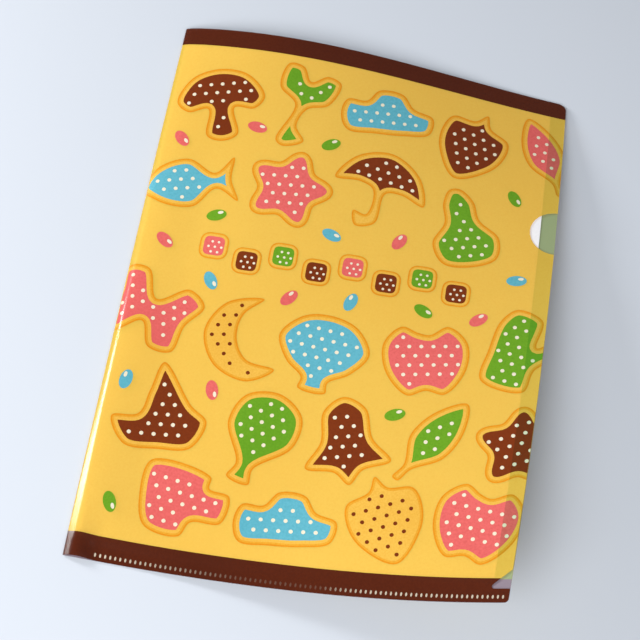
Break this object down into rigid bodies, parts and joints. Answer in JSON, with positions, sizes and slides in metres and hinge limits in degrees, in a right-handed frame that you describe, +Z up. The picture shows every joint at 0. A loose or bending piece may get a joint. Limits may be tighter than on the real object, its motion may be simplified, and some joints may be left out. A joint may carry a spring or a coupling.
{
  "type": "clear file folder",
  "caption": "Printed translucent plastic file folder, folded on one side and welded along the bottom, with a thumb notch and a sheet of paper inside.",
  "frame": {"origin": "middle of the lying folder's footprint, on the table", "axes": "+X from the fold towards the open side, +Y towards the open top edge, +Z up, out of the printed front"},
  "size_m": [0.2194, 0.31, 0.0522],
  "materials": {
    "printed_film": "translucent polypropylene film, 0.2 mm, printed warm yellow, glossy",
    "paper": "uncoated white office paper",
    "ink_brown": "dark brown print under gloss",
    "ink_chocolate": "chocolate brown print under gloss",
    "ink_pink": "pink print under gloss",
    "ink_green": "green print under gloss",
    "ink_blue": "light blue print under gloss"
  },
  "bodies": {
    "root": {"bottom_band": "ink_brown", "folder_film": "printed_film", "paper_insert": "paper", "print_acorn_1": "ink_chocolate", "print_acorn_2": "ink_chocolate", "print_apple_1": "ink_pink", "print_apple_2": "ink_pink", "print_balloon_1": "ink_green", "print_bell_1": "ink_chocolate", "print_boat_1": "ink_chocolate", "print_butterfly_1": "ink_pink", "print_cloud_1": "ink_blue", "print_cloud_2": "ink_blue", "print_cup_1": "ink_pink", "print_fish_1": "ink_blue", "print_flower_1": "ink_pink", "print_flower_2": "ink_chocolate", "print_leaf_1": "ink_pink", "print_leaf_2": "ink_green", "print_mitten_1": "ink_green", "print_moon_1": "ink_chocolate", "print_mushroom_1": "ink_chocolate", "print_pear_1": "ink_green", "print_shell_1": "ink_blue", "print_tile_1": "ink_pink", "print_tile_2": "ink_chocolate", "print_tile_3": "ink_green", "print_tile_4": "ink_chocolate", "print_tile_5": "ink_pink", "print_tile_6": "ink_chocolate", "print_tile_7": "ink_green", "print_tile_8": "ink_chocolate", "print_tulip_1": "ink_green", "print_umbrella_1": "ink_chocolate", "top_band": "ink_brown"}
  },
  "joints": []
}
